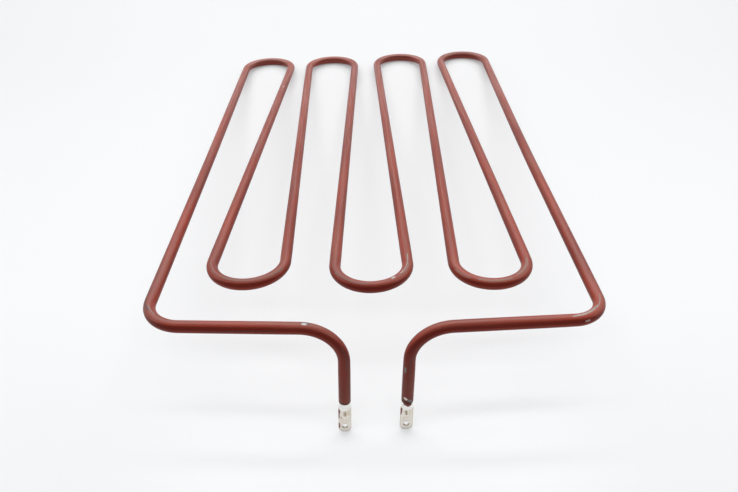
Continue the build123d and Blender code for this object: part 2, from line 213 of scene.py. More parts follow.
def carry_frames(pts, tans):
    """A normal carried along the route without twist, equal to the plane's normal on the serpentine."""
    n = len(pts)
    mid = n // 2
    ups = np.zeros((n, 3))
    ups[mid] = (0, 0, 1)
    for step in (1, -1):
        k = mid
        while 0 <= k + step < n:
            a, b = tans[k], tans[k + step]
            axis = np.cross(a, b)
            sin_a = np.linalg.norm(axis)
            u = ups[k]
            if sin_a > 1e-9:
                axis = axis / sin_a
                ang = math.atan2(sin_a, a @ b)
                u = u * math.cos(ang) + np.cross(axis, u) * math.sin(ang) + axis * (axis @ u) * (1 - math.cos(ang))
            u = u - b * (u @ b)
            ups[k + step] = unit(u)
            k += step
    return ups


def leg_frame(knee, leg):
    """Origin at the knee, rows: across, front, down, all in the row frame."""
    top = to_row(knee)
    down = unit(to_row(knee + unit(leg) * 100.0) - top)
    across = unit(np.array([1.0, 0, 0]) - down * down[0])
    front = np.cross(down, across)
    return top, across, front, down


LEGS = {"left": leg_frame(KNEE_L, LEG_L), "right": leg_frame(KNEE_R, LEG_R)}


def in_leg(side, x, y, h):
    top, across, front, down = LEGS[side]
    return top + across * x + front * y + down * h


def new_object(name, verts_mm, faces, smooth=True):
    mesh = bpy.data.meshes.new(name)
    mesh.from_pydata([tuple(v * MM) for v in np.asarray(verts_mm)], [], faces)
    mesh.update()
    obj = bpy.data.objects.new(name, mesh)
    scene.collection.objects.link(obj)
    if smooth:
        for p in mesh.polygons:
            p.use_smooth = True
    return obj


def fix_normals(obj):
    bm = bmesh.new()
    bm.from_mesh(obj.data)
    bmesh.ops.recalc_face_normals(bm, faces=bm.faces)
    bm.to_mesh(obj.data)
    bm.free()


# ------------------------------------------------------------- the sheath
def build_sheath():
    route = full_route(END_L, END_R)
    pts, tans, s, curv = route.sample(6.0, 3.0)
    ups = carry_frames(pts, tans)
    sides = np.cross(tans, ups)
    # a cut end is rounded over: extra rings close to both ends
    rim = 0.5
    total = s[-1]
    stations = [rim * (1 - math.cos(a)) for a in np.linspace(0, math.pi / 2, 6)]
    radii = [R_OUT - rim * (1 - math.sin(a)) for a in np.linspace(0, math.pi / 2, 6)]
    ring_s = list(stations) + [v for v in s if 1.2 < v < total - 1.2] + [total - v for v in stations[::-1]]
    ring_r = list(radii) + [R_OUT] * (len(ring_s) - 12) + list(radii[::-1])
    ring_s, ring_r = np.array(ring_s), np.array(ring_r)

    def at(v, arr):
        return np.stack([np.interp(v, s, arr[:, k]) for k in range(arr.shape[1])], 1)

    P, T, U, K = at(ring_s, pts), at(ring_s, tans), at(ring_s, ups), at(ring_s, curv)
    T /= np.linalg.norm(T, axis=1)[:, None]
    U -= T * (U * T).sum(1)[:, None]
    U /= np.linalg.norm(U, axis=1)[:, None]
    S = np.cross(T, U)
    n_around = 48
    ang = np.arange(n_around) * 2 * math.pi / n_around
    ca, sa = np.cos(ang), np.sin(ang)
    # bent stretches are squeezed a little across the bend; the change fades into the runs
    bend = np.linalg.norm(K, axis=1) * 27.0
    kern = np.exp(-0.5 * (np.subtract.outer(ring_s, ring_s) / 5.0) ** 2)
    kern /= kern.sum(1)[:, None]
    bend_soft = np.clip(kern @ bend, 0, 1.2)
    K_soft = kern @ K
    verts, co, theta = [], [], []
    for i in range(len(ring_s)):
        radial = U[i][None] * ca[:, None] + S[i][None] * sa[:, None]
        squeeze = np.zeros(n_around)
        kn = np.linalg.norm(K_soft[i])
        if kn > 1e-6:
            inward = K_soft[i] / kn
            along = radial @ inward
            # outer side flattens most, inner side slightly
            squeeze = bend_soft[i] * (0.16 * np.clip(-along, 0, 1) ** 2 + 0.09 * np.clip(along, 0, 1) ** 2)
        ripple = 0.018 * np.array([
            noise.noise(Vector((ring_s[i] * 0.045, ca[k] * 0.9, sa[k] * 0.9))) for k in range(n_around)
        ])
        rr = ring_r[i] - squeeze - np.clip(ripple + 0.012, 0, 0.05)
        ring = P[i][None] + radial * rr[:, None]
        verts.append(ring)
        co.append(np.stack([np.full(n_around, ring_s[i]), R_OUT * ca, R_OUT * sa], 1))
    outer_rings = len(ring_s)
    # bore of the tube
    bore_keep = [0]
    for i in range(1, outer_rings - 1):
        if np.linalg.norm(K[i]) > 1e-6 or np.linalg.norm(K[max(i - 1, 0)]) > 1e-6 or np.linalg.norm(K[min(i + 1, outer_rings - 1)]) > 1e-6:
            if i % 2 == 0 or np.linalg.norm(K[max(i - 1, 0)]) < 1e-6 or np.linalg.norm(K[min(i + 1, outer_rings - 1)]) < 1e-6:
                bore_keep.append(i)
    bore_keep.append(outer_rings - 1)
    for i in bore_keep:
        radial = U[i][None] * ca[:, None] + S[i][None] * sa[:, None]
        verts.append(P[i][None] + radial * (R_IN + 0.0))
        co.append(np.stack([np.full(n_around, ring_s[i]), R_IN * ca, R_IN * sa], 1))
    V = np.vstack(verts)
    C = np.vstack(co)
    faces = []
    n = n_around

    def strip(a, b, flip):
        for k in range(n):
            k2 = (k + 1) % n
            q = (a * n + k, a * n + k2, b * n + k2, b * n + k)
            faces.append(q[::-1] if flip else q)

    for i in range(outer_rings - 1):
        strip(i, i + 1, False)
    base = outer_rings
    for j in range(len(bore_keep) - 1):
        strip(base + j, base + j + 1, True)
    strip(0, base, True)
    strip(outer_rings - 1, base + len(bore_keep) - 1, False)
    obj = new_object("sheath_tube", to_row(V), faces)
    fix_normals(obj)
    attr = obj.data.attributes.new("tubeco", "FLOAT_VECTOR", "POINT")
    attr.data.foreach_set("vector", (C * MM).astype(np.float32).ravel())
    normals = np.empty(len(obj.data.vertices) * 3, np.float32)
    obj.data.vertices.foreach_get("normal", normals)
    sky = obj.data.attributes.new("skyward", "FLOAT", "POINT")
    sky.data.foreach_set("value", normals.reshape(-1, 3)[:, 2].copy())
    front = obj.data.attributes.new("frontward", "FLOAT", "POINT")
    front.data.foreach_set("value", -normals.reshape(-1, 3)[:, 1].copy())
    obj.data.update()
    return obj, s[-1]


# --------------------------------------------------------- material helpers
class Nodes:
    """Small helper that writes shader nodes left to right."""

    def __init__(self, name):
        self.mat = bpy.data.materials.new(name)
        self.mat.use_nodes = True
        self.tree = self.mat.node_tree
        self.tree.nodes.clear()
        self.out = self.tree.nodes.new("ShaderNodeOutputMaterial")
        self.bsdf = self.tree.nodes.new("ShaderNodeBsdfPrincipled")
        self.tree.links.new(self.bsdf.outputs[0], self.out.inputs[0])

    def node(self, kind, **props):
        n = self.tree.nodes.new(kind)
        for k, v in props.items():
            setattr(n, k, v)
        return n

    def link(self, a, b):
        self.tree.links.new(a, b)

    def put(self, socket, value):
        if isinstance(value, bpy.types.NodeSocket):
            self.link(value, socket)
        else:
            socket.default_value = value

    def math(self, op, a, b=0.0, c=0.0, clamp=False):
        n = self.node("ShaderNodeMath", operation=op, use_clamp=clamp)
        self.put(n.inputs[0], a)
        self.put(n.inputs[1], b)
        self.put(n.inputs[2], c)
        return n.outputs[0]

    def vmath(self, op, a, b=(0, 0, 0)):
        n = self.node("ShaderNodeVectorMath", operation=op)
        self.put(n.inputs[0], a)
        self.put(n.inputs[1], b)
        return n.outputs["Value"] if op in ("LENGTH", "DOT_PRODUCT", "DISTANCE") else n.outputs["Vector"]

    def noise(self, vec, scale, detail=3.0, rough=0.55, distortion=0.0):
        n = self.node("ShaderNodeTexNoise")
        self.put(n.inputs["Vector"], vec)
        n.inputs["Scale"].default_value = scale
        n.inputs["Detail"].default_value = detail
        n.inputs["Roughness"].default_value = rough
        n.inputs["Distortion"].default_value = distortion
        return n.outputs["Fac"]

    def ramp(self, fac, lo, hi, a=0.0, b=1.0, smooth=True):
        n = self.node("ShaderNodeMapRange", clamp=True)
        n.interpolation_type = "SMOOTHSTEP" if smooth else "LINEAR"
        self.put(n.inputs["Value"], fac)
        n.inputs["From Min"].default_value = lo
        n.inputs["From Max"].default_value = hi
        n.inputs["To Min"].default_value = a
        n.inputs["To Max"].default_value = b
        return n.outputs["Result"]

    def mix(self, fac, a, b):
        n = self.node("ShaderNodeMix", data_type="RGBA")
        self.put(n.inputs[0], fac)
        self.put(n.inputs[6], a)
        self.put(n.inputs[7], b)
        return n.outputs[2]

    def mixf(self, fac, a, b):
        n = self.node("ShaderNodeMix", data_type="FLOAT")
        self.put(n.inputs[0], fac)
        self.put(n.inputs[2], a)
        self.put(n.inputs[3], b)
        return n.outputs[0]

    def attr(self, name, output="Vector"):
        return self.node("ShaderNodeAttribute", attribute_type="GEOMETRY", attribute_name=name).outputs[output]

    def reach(self, pos, a, b):
        """Distance from pos to the segment from a to b."""
        a, b = np.asarray(a, float), np.asarray(b, float)
        ab = b - a
        rel = self.vmath("SUBTRACT", pos, tuple(a))
        t = self.math("MINIMUM", self.math("MAXIMUM", self.vmath("DOT_PRODUCT", rel, tuple(ab / max(ab @ ab, 1e-9))), 0.0), 1.0)
        step = self.node("ShaderNodeVectorMath", operation="SCALE")
        step.inputs[0].default_value = tuple(ab)
        self.put(step.inputs[3], t)
        return self.vmath("DISTANCE", rel, step.outputs["Vector"])

    def stroke(self, pos, points, radius, soft, wobble):
        """Mask of a stroke through the points: 1 inside, 0 outside, with a ragged edge."""
        d = None
        for k in range(max(1, len(points) - 1)):
            e = self.reach(pos, points[k], points[min(k + 1, len(points) - 1)])
            d = e if d is None else self.math("MINIMUM", d, e)
        return self.ramp(self.math("ADD", d, wobble), radius - soft, radius + soft, 1.0, 0.0)

    def coords(self):
        return self.node("ShaderNodeTexCoord").outputs["Object"]

    def bump(self, height, strength, distance):
        n = self.node("ShaderNodeBump")
        n.inputs["Strength"].default_value = strength
        n.inputs["Distance"].default_value = distance
        self.put(n.inputs["Height"], height)
        return n.outputs["Normal"]


def rgb(r, g, b):
    return (r, g, b, 1.0)


def on_tube(length, degrees):
    """Point of the unrolled tube, in mm: length along it, angle round it."""
    a = math.radians(degrees)
    return (length, R_OUT * math.cos(a), R_OUT * math.sin(a))


def strokes(*points):
    return [on_tube(*q) for q in points]


# Wear along the tube, and one painted highlight: points, half width, edge, colour, roughness, strength.
SILVER, CHALK, SCUFF, SOOT = rgb(0.66, 0.65, 0.62), rgb(0.47, 0.44, 0.40), rgb(0.25, 0.19, 0.16), rgb(0.035, 0.03, 0.03)
WEAR_AND_HIGHLIGHT = [
    # chip to bare metal on the left cross run, with a dark edge
    (strokes((76.6, 4), (80.0, 6)), 1.45, 0.45, rgb(0.13, 0.085, 0.075), 0.6, 0.7),
    (strokes((78.7, -5), (79.9, -4)), 0.85, 0.35, rgb(0.47, 0.48, 0.47), 0.35, 1.0),
    # long scrape inside the right corner
    (strokes((4321, -12), (4315, -3), (4310.6, 3), (4305.2, 9), (4299.3, 11)), 0.50, 0.25, rgb(0.30, 0.30, 0.26), 0.45, 0.9),
    (strokes((4318, 4), (4310, 16), (4302, 24)), 0.45, 0.30, CHALK, 0.5, 0.35),
    (strokes((4301, 3), (4292, 3), (4286, -4)), 0.36, 0.25, rgb(0.20, 0.19, 0.165), 0.45, 0.75),
    (strokes((4313.6, -70), (4311.8, -70)), 0.62, 0.35, rgb(0.42, 0.30, 0.27), 0.5, 0.85),
    # scrape on the middle near bend
    (strokes((2274, 4), (2260, -4), (2254, -4)), 0.34, 0.20, rgb(0.28, 0.29, 0.25), 0.45, 0.8),
    (strokes((2252.5, -4), (2248.8, -4)), 0.42, 0.25, rgb(0.36, 0.33, 0.29), 0.45, 0.85),
    (strokes((2242.5, -2), (2240.5, -3)), 0.75, 0.30, rgb(0.46, 0.43, 0.40), 0.45, 0.9),
    (strokes((2262, 14), (2250, 12)), 0.30, 0.25, SCUFF, 0.6, 0.6),
    # grey rub marks on the tops of the near bends
    (strokes((3290, -6), (3276, -8), (3268, -2)), 0.75, 0.60, rgb(0.20, 0.175, 0.14), 0.6, 0.65),
    (strokes((3262, 14), (3252, 15), (3240, 20)), 0.60, 0.55, rgb(0.24, 0.20, 0.165), 0.7, 0.6),
    (strokes((3234, 34), (3222, 42)), 0.55, 0.50, SCUFF, 0.6, 0.5),
    (strokes((1196, 10), (1209, 6), (1224, 14), (1240, 34)), 0.60, 0.55, rgb(0.17, 0.125, 0.10), 0.7, 0.65),
    (strokes((2196, 30), (2208, 22), (2222, 20)), 0.55, 0.50, rgb(0.17, 0.12, 0.10), 0.7, 0.6),
    # dark and pale streaks round the left corner
    (strokes((212, -34), (203.7, -40), (196, -34), (188, -12)), 0.85, 0.50, rgb(0.070, 0.050, 0.048), 0.55, 0.75),
    (strokes((192.5, 2), (186, 8), (181, 12)), 0.42, 0.30, rgb(0.185, 0.165, 0.145), 0.5, 0.75),
    (strokes((180, 8), (172, 2), (160, -4), (150, -6)), 0.45, 0.60, rgb(0.13, 0.075, 0.062), 0.6, 0.5),
    # soot-dark streaks low on the cross runs and down the legs
    (strokes((146, -97), (132, -92), (118, -84), (96, -80)), 0.55, 0.50, rgb(0.060, 0.030, 0.026), 0.6, 0.5),
    (strokes((52, -52), (41, -62), (33, -66)), 0.60, 0.80, rgb(0.110, 0.065, 0.055), 0.6, 0.45),
    (strokes((40, -38), (24, -44), (8, -40)), 0.80, 1.00, rgb(0.085, 0.050, 0.042), 0.6, 0.3),
    (strokes((4449.5, -47), (4445.5, -50)), 0.75, 0.40, rgb(0.20, 0.20, 0.19), 0.5, 0.85),
    (strokes((4458, -60), (4470, -58)), 0.50, 0.80, rgb(0.090, 0.055, 0.048), 0.6, 0.4),
    (strokes((4436, -96), (4450, -98), (4466, -102)), 0.60, 0.90, rgb(0.100, 0.055, 0.045), 0.6, 0.35),
    # pale chip far up the second run
    (strokes((822.3, -19), (823.6, -19)), 0.90, 0.35, rgb(0.52, 0.46, 0.43), 0.5, 0.8),
    # painted highlight: a pale streak along the edge of the right outer run
    (strokes((3790, -62), (3960, -60), (4130, -62), (4275, -66)), 0.85, 0.80, rgb(0.46, 0.30, 0.27), 0.6, 0.5),
]


def coat_material(total):
    m = Nodes("coated_sheath")
    pos = m.vmath("MULTIPLY", m.attr("tubeco"), (1000.0, 1000.0, 1000.0))
    sky = m.attr("skyward", "Fac")
    along = m.vmath("DOT_PRODUCT", pos, (1.0, 0.0, 0.0))
    # lengthwise streaks: the noise is stretched along the tube
    streak = m.noise(m.vmath("MULTIPLY", pos, (0.020, 1.0, 1.0)), 0.75, 4.0, 0.62)
    lines = m.noise(m.vmath("MULTIPLY", pos, (0.014, 1.0, 1.0)), 1.05, 3.0, 0.65)
    broad = m.noise(m.vmath("MULTIPLY", pos, (0.10, 1.0, 1.0)), 0.11, 3.0, 0.55)
    fine = m.noise(pos, 2.6, 3.0, 0.6)
    deep, brick = rgb(0.200, 0.018, 0.0080), rgb(0.305, 0.036, 0.0155)
    colour = m.mix(m.ramp(broad, 0.32, 0.68), deep, brick)
    # a thin grey bloom lies in streaks along the tube; its weighting towards up-facing sides is painted top light
    colour = m.mix(m.math("MULTIPLY", m.ramp(streak, 0.46, 0.68, 0.08, 0.58), m.ramp(sky, 0.35, 0.85, 0.15, 1.0)), colour, rgb(0.250, 0.110, 0.078))
    colour = m.mix(m.ramp(lines, 0.52, 0.66, 0.0, 0.60), colour, rgb(0.115, 0.036, 0.026))
    colour = m.mix(m.ramp(fine, 0.58, 0.80, 0.0, 0.34), colour, rgb(0.08, 0.024, 0.017))
    # painted shade: sides facing down and sideways are darkened towards deep red
    colour = m.mix(m.ramp(sky, 0.20, 0.70, 0.35, 0.0), colour, rgb(0.095, 0.007, 0.003))
    # painted shade: sides facing forward and partly up are darkened towards deep red
    front = m.attr("frontward", "Fac")
    colour = m.mix(m.math("MULTIPLY", m.ramp(front, 0.42, 0.66, 0.0, 0.78), m.ramp(sky, 0.10, 0.35)), colour, rgb(0.100, 0.007, 0.003))
    # painted sheen: a pale pink veil in streaks over the far half, weaker where the tube faces forward
    far = m.vmath("DOT_PRODUCT", m.coords(), (0.0, 1.0, 0.0))
    colour = m.mix(m.math("MULTIPLY", m.ramp(far, -0.12, 0.24, 0.0, 0.46), m.math("MULTIPLY", m.ramp(streak, 0.40, 0.60, 0.45, 1.15), m.ramp(front, 0.20, 0.70, 1.0, 0.35))), colour, rgb(0.475, 0.232, 0.205))
    # the legs are duller towards their ends, and the cut ends are nearly black
    end_gap = m.math("MINIMUM", along, m.math("SUBTRACT", total, along))
    dull = m.math("MULTIPLY", m.ramp(end_gap, 4.0, 46.0, 0.50, 0.0), m.ramp(streak, 0.30, 0.62, 0.45, 1.0))
    colour = m.mix(dull, colour, rgb(0.180, 0.060, 0.044))
    rough = m.mixf(m.ramp(streak, 0.35, 0.75), 0.36, 0.50)
    wobble = m.math("MULTIPLY", m.math("SUBTRACT", m.noise(pos, 1.3, 2.0, 0.6), 0.5), 1.1)
    worn = None
    for points, radius, soft, paint, gloss, strength in WEAR_AND_HIGHLIGHT:
        mask = m.math("MULTIPLY", m.stroke(pos, points, radius, soft, wobble), strength)
        colour = m.mix(mask, colour, paint)
        rough = m.mixf(mask, rough, gloss)
        if strength >= 0.8:
            worn = mask if worn is None else m.math("MAXIMUM", worn, mask)
    # right end: the coating has flaked and run over the bush
    grime = m.math("MULTIPLY", m.ramp(m.math("SUBTRACT", total, along), 4.0, 9.0, 1.0, 0.0), m.ramp(m.noise(pos, 0.8, 3.0, 0.6), 0.42, 0.58))
    colour = m.mix(m.math("MULTIPLY", grime, 0.75), colour, rgb(0.030, 0.020, 0.020))
    for points, radius, soft, paint, strength in [
        (strokes((total - 5.7, -60), (total - 5.1, -72)), 1.0, 0.30, rgb(0.72, 0.64, 0.58), 1.0),
        (strokes((total - 4.4, -97), (total - 3.2, -112), (total - 2.4, -124)), 0.85, 0.40, rgb(0.20, 0.185, 0.19), 0.9),
        (strokes((total - 3.0, -60), (total - 1.0, -80)), 1.1, 0.40, rgb(0.11, 0.016, 0.012), 0.9),
    ]:
        mask = m.math("MULTIPLY", m.stroke(pos, points, radius, soft, wobble), strength)
        colour = m.mix(mask, colour, paint)
        worn = m.math("MAXIMUM", worn, mask)
    rim = m.ramp(m.math("ADD", end_gap, m.math("MULTIPLY", wobble, 0.5)), 0.6, 2.2, 0.85, 0.0)
    colour = m.mix(rim, colour, rgb(0.018, 0.016, 0.016))
    m.put(m.bsdf.inputs["Base Color"], colour)
    m.put(m.bsdf.inputs["Roughness"], rough)
    m.put(m.bsdf.inputs["Specular IOR Level"], m.ramp(sky, 0.35, 0.85, 0.14, 0.56))
    m.bsdf.inputs["IOR"].default_value = 1.5
    height = m.math("ADD", m.math("MULTIPLY", fine, 0.35), m.math("MULTIPLY", streak, 0.65))
    height = m.math("SUBTRACT", height, m.math("MULTIPLY", worn, 0.6))
    m.put(m.bsdf.inputs["Normal"], m.bump(height, 0.30, 0.0002))
    return m.mat


def simple_material(name, lo, hi, rough, metallic=0.0, scale=900.0, bump=0.15, spec=0.5):
    m = Nodes(name)
    co = m.coords()
    n1 = m.noise(co, scale, 4.0, 0.6)
    n2 = m.noise(co, scale * 0.22, 3.0, 0.5)
    colour = m.mix(m.ramp(m.math("ADD", m.math("MULTIPLY", n1, 0.5), m.math("MULTIPLY", n2, 0.5)), 0.35, 0.65), rgb(*lo), rgb(*hi))
    m.put(m.bsdf.inputs["Base Color"], colour)
    m.put(m.bsdf.inputs["Roughness"], m.mixf(m.ramp(n2, 0.3, 0.7), rough - 0.06, rough + 0.08))
    m.bsdf.inputs["Metallic"].default_value = metallic
    m.bsdf.inputs["Specular IOR Level"].default_value = spec
    m.put(m.bsdf.inputs["Normal"], m.bump(n1, bump, 0.0002))
    return m.mat


def set_material(obj, mat):
    obj.data.materials.clear()
    obj.data.materials.append(mat)


sheath, tube_length = build_sheath()
set_material(sheath, coat_material(tube_length))
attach(sheath, "root")
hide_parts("sheath")

# ------------------------------------------------------------ the terminals
def tab_mesh(side, start, end):
    """Stamped tab with rolled edges and a screw hole."""
    curve = bpy.data.curves.new("tab_outline", "CURVE")
    curve.dimensions = "2D"
    curve.fill_mode = "BOTH"
    roll_over = 0.16
    half = TAB_W / 2

    def loop(points):
        spline = curve.splines.new("POLY")
        spline.points.add(len(points) - 1)
        for q, (x, y) in zip(spline.points, points):
            q.co = (x * MM, y * MM, 0.0, 1.0)
        spline.use_cyclic_u = True

    outline = []
    for cx, cy, r, a0, a1 in [
        (half - 0.5, start + 0.5, 0.5, -90, 0),
        (half - TAB_CORNER, end - TAB_CORNER, TAB_CORNER, 0, 90),
        (-half + TAB_CORNER, end - TAB_CORNER, TAB_CORNER, 90, 180),
        (-half + 0.5, start + 0.5, 0.5, 180, 270),
    ]:
        n = 14 if r > 1 else 4
        for k in range(n + 1):
            a = math.radians(a0 + (a1 - a0) * k / n)
            outline.append((cx + (r - roll_over) * math.cos(a), cy + (r - roll_over) * math.sin(a)))
    loop(outline)
    hole_r = TAB_HOLE_R + roll_over
    loop([(hole_r * math.cos(2 * math.pi * k / 40), end - TAB_HOLE_UP - hole_r * math.sin(2 * math.pi * k / 40)) for k in range(40)])
    curve.extrude = (TAB_T / 2 - roll_over) * MM
    curve.bevel_depth = roll_over * MM
    curve.bevel_resolution = 2
    holder = bpy.data.objects.new("tab_outline", curve)
    scene.collection.objects.link(holder)
    bpy.context.view_layer.update()
    mesh = bpy.data.meshes.new_from_object(holder.evaluated_get(bpy.context.evaluated_depsgraph_get()))
    bpy.data.objects.remove(holder)
    bm = bmesh.new()
    bm.from_mesh(mesh)
    bmesh.ops.remove_doubles(bm, verts=bm.verts, dist=2e-6)
    bmesh.ops.recalc_face_normals(bm, faces=bm.faces)
    local = bm.verts.layers.float_vector.new("tabco")
    for v in bm.verts:
        x, h, y = v.co.x / MM, v.co.y / MM, v.co.z / MM
        v[local] = Vector((x, end - h, y)) * MM
        v.co = Vector(in_leg(side, x, TAB_BACK + TAB_T / 2 + y, h)) * MM
    bmesh.ops.recalc_face_normals(bm, faces=bm.faces)
    bm.to_mesh(mesh)
    bm.free()
    obj = bpy.data.objects.new("tab_" + side, mesh)
    scene.collection.objects.link(obj)
    for q in mesh.polygons:
        q.use_smooth = True
    mesh.set_sharp_from_angle(angle=math.radians(40))
    return obj


def bush_mesh(side, start):
    """Turned bush: rounded body below the sheath and a spigot up inside it."""
    profile = [(1.27, -3.5), (3.40, -3.5), (3.40, 0.0), (3.88, 0.0)]
    profile += [(3.9 + 0.6 * math.sin(a), 0.6 - 0.6 * math.cos(a)) for a in np.linspace(0.12, math.pi / 2, 6)]
    profile += [(4.5, 1.8), (4.5, 3.2)]
    profile += [(3.9 + 0.6 * math.cos(a), BUSH_LEN - 0.6 + 0.6 * math.sin(a)) for a in np.linspace(0, math.pi / 2, 7)]
    profile += [(1.60, BUSH_LEN), (1.27, BUSH_LEN - 0.3)]
    n, verts, local, faces = 64, [], [], []
    for r, h in profile:
        for k in range(n):
            a = 2 * math.pi * k / n
            c, d = math.cos(a), math.sin(a)
            grain = 0.025 * noise.noise(Vector((c * 3.0, d * 3.0, h * 1.1))) if r > 3.9 and h > 0.5 else 0.0
            verts.append(in_leg(side, (r + grain) * c, (r + grain) * d, start + h))
            local.append((r * c, h, r * d))
    rows = len(profile)
    for i in range(rows):
        j = (i + 1) % rows
        for k in range(n):
            k2 = (k + 1) % n
            faces.append((i * n + k, i * n + k2, j * n + k2, j * n + k))
    obj = new_object("bush_" + side, verts, faces)
    fix_normals(obj)
    attr = obj.data.attributes.new("tabco", "FLOAT_VECTOR", "POINT")
    attr.data.foreach_set("vector", (np.array(local, np.float32) * MM).ravel())
    obj.data.set_sharp_from_angle(angle=math.radians(45))
    return obj


def spots(m, pos, items, wobble, colour):
    """Lays spots and strokes of colour over a base colour."""
    for points, radius, soft, paint, strength in items:
        mask = m.math("MULTIPLY", m.stroke(pos, points, radius, soft, wobble), strength)
        colour = m.mix(mask, colour, paint)
    return colour


def tab_material(side, marks):
    m = Nodes("tab_nickel_" + side)
    pos = m.vmath("MULTIPLY", m.attr("tabco"), (1000.0, 1000.0, 1000.0))
    brush = m.noise(m.vmath("MULTIPLY", pos, (1.0, 0.25, 1.0)), 3.2, 4.0, 0.6)
    cloud = m.noise(pos, 0.45, 3.0, 0.6)
    speck = m.noise(pos, 2.4, 2.0, 0.5)
    colour = m.mix(m.ramp(cloud, 0.35, 0.65), rgb(0.745, 0.695, 0.62), rgb(0.83, 0.79, 0.72))
    colour = m.mix(m.ramp(brush, 0.52, 0.78, 0.0, 0.30), colour, rgb(0.55, 0.50, 0.43))
    colour = m.mix(m.ramp(speck, 0.64, 0.74, 0.0, 0.35), colour, rgb(0.42, 0.36, 0.29))
    wobble = m.math("MULTIPLY", m.math("SUBTRACT", m.noise(pos, 1.1, 2.0, 0.6), 0.5), 1.2)
    # painted shade: the tab darkens towards its rounded edges and end
    across = m.math("ABSOLUTE", m.vmath("DOT_PRODUCT", pos, (1.0, 0.0, 0.0)))
    below = m.math("MINIMUM", m.math("SUBTRACT", m.vmath("DOT_PRODUCT", pos, (0.0, 1.0, 0.0)), 4.5), 0.0)
    rim = m.math("SQRT", m.math("ADD", m.math("MULTIPLY", across, across), m.math("MULTIPLY", below, below)))
    colour = m.mix(m.ramp(rim, 3.75, 4.40, 0.0, 0.55), colour, rgb(0.44, 0.385, 0.32))
    colour = spots(m, pos, marks, wobble, colour)
    # painted shade: a darker ring round the screw hole
    from_hole = m.vmath("LENGTH", m.vmath("MULTIPLY", m.vmath("SUBTRACT", pos, (0.0, TAB_HOLE_UP, 0.0)), (1.0, 1.0, 0.0)))
    colour = m.mix(m.ramp(from_hole, TAB_HOLE_R + 0.03, TAB_HOLE_R + 0.30, 0.85, 0.0), colour, rgb(0.30, 0.26, 0.21))
    paint = None
    for points, radius, soft, _, strength in marks[:3]:
        mask = m.math("MULTIPLY", m.stroke(pos, points, radius, soft, wobble), strength)
        paint = mask if paint is None else m.math("MAXIMUM", paint, mask)
    m.put(m.bsdf.inputs["Base Color"], colour)
    m.put(m.bsdf.inputs["Metallic"], m.math("SUBTRACT", 0.95, m.math("MULTIPLY", paint, 0.9), clamp=True))
    m.put(m.bsdf.inputs["Roughness"], m.mixf(m.ramp(brush, 0.3, 0.7), 0.27, 0.38))
    m.put(m.bsdf.inputs["Normal"], m.bump(m.math("ADD", brush, cloud), 0.22, 0.0002))
    return m.mat


def bush_material(side, marks):
    m = Nodes("bush_ceramic_" + side)
    pos = m.vmath("MULTIPLY", m.attr("tabco"), (1000.0, 1000.0, 1000.0))
    grain = m.noise(pos, 1.9, 4.0, 0.65)
    cloud = m.noise(pos, 0.5, 2.0, 0.5)
    colour = m.mix(m.ramp(cloud, 0.35, 0.65), rgb(0.86, 0.84, 0.80), rgb(0.93, 0.92, 0.90))
    colour = m.mix(m.ramp(grain, 0.60, 0.72, 0.0, 0.45), colour, rgb(0.50, 0.44, 0.37))
    wobble = m.math("MULTIPLY", m.math("SUBTRACT", m.noise(pos, 1.2, 2.0, 0.6), 0.5), 1.2)
    colour = spots(m, pos, marks, wobble, colour)
    m.put(m.bsdf.inputs["Base Color"], colour)
    m.put(m.bsdf.inputs["Roughness"], m.mixf(grain, 0.35, 0.55))
    # painted glow: a faint emission brightens the bush
    m.put(m.bsdf.inputs["Emission Color"], colour)
    m.bsdf.inputs["Emission Strength"].default_value = 0.16
    m.put(m.bsdf.inputs["Normal"], m.bump(grain, 0.35, 0.0002))
    return m.mat


PAINT, TINT, BROWN = rgb(0.200, 0.030, 0.032), rgb(0.34, 0.27, 0.18), rgb(0.23, 0.15, 0.09)
# marks on the tabs: across, up from the tab's end, front
TAB_MARKS = {
    "left": [
        ([(-4.3, 21.8, 0.7), (-4.2, 20.0, 0.8)], 1.05, 0.35, PAINT, 1.0),
        ([(-4.4, 19.4, 0.7), (-4.5, 14.2, 0.7)], 0.80, 0.40, PAINT, 0.9),
        ([(-4.5, 8.4, 0.7), (-4.3, 4.8, 0.7)], 0.95, 0.40, PAINT, 1.0),
        ([(0.2, 19.6, 0.75), (0.1, 16.6, 0.75)], 1.05, 0.90, TINT, 0.75),
        ([(0.4, 18.4, 0.75), (0.6, 17.4, 0.75)], 0.55, 0.35, BROWN, 0.75),
        ([(1.6, 19.8, 0.75), (2.6, 17.6, 0.75)], 1.00, 1.00, rgb(0.66, 0.56, 0.38), 0.55),
        ([(-2.6, 15.2, 0.75), (-2.0, 13.4, 0.75)], 0.45, 0.35, BROWN, 0.6),
        ([(3.2, 21.0, 0.75), (2.8, 18.0, 0.75)], 0.50, 0.45, rgb(0.50, 0.42, 0.30), 0.5),
        ([(-3.2, 12.4, 0.75), (2.6, 11.6, 0.75)], 0.50, 0.45, rgb(0.58, 0.50, 0.36), 0.45),
    ],
    "right": [
        ([(-4.0, 21.6, 0.7), (-4.4, 17.2, 0.8)], 0.85, 0.35, PAINT, 1.0),
        ([(-4.6, 16.4, 0.6), (-4.6, 15.4, 0.6)], 0.60, 0.30, PAINT, 0.9),
        ([(-4.8, 9.0, 0.2), (-4.8, 8.2, 0.2)], 0.45, 0.30, PAINT, 0.6),
        ([(-0.4, 18.6, 0.75), (-0.2, 15.6, 0.75)], 0.75, 0.55, rgb(0.26, 0.20, 0.13), 0.85),
        ([(-0.7, 19.0, 0.75), (-0.9, 18.2, 0.75)], 0.50, 0.30, BROWN, 0.7),
        ([(1.8, 20.4, 0.75), (2.2, 15.2, 0.75)], 0.55, 0.50, rgb(0.62, 0.52, 0.36), 0.5),
        ([(-2.2, 12.8, 0.75), (1.6, 12.4, 0.75)], 0.50, 0.45, rgb(0.56, 0.48, 0.34), 0.4),
    ],
}
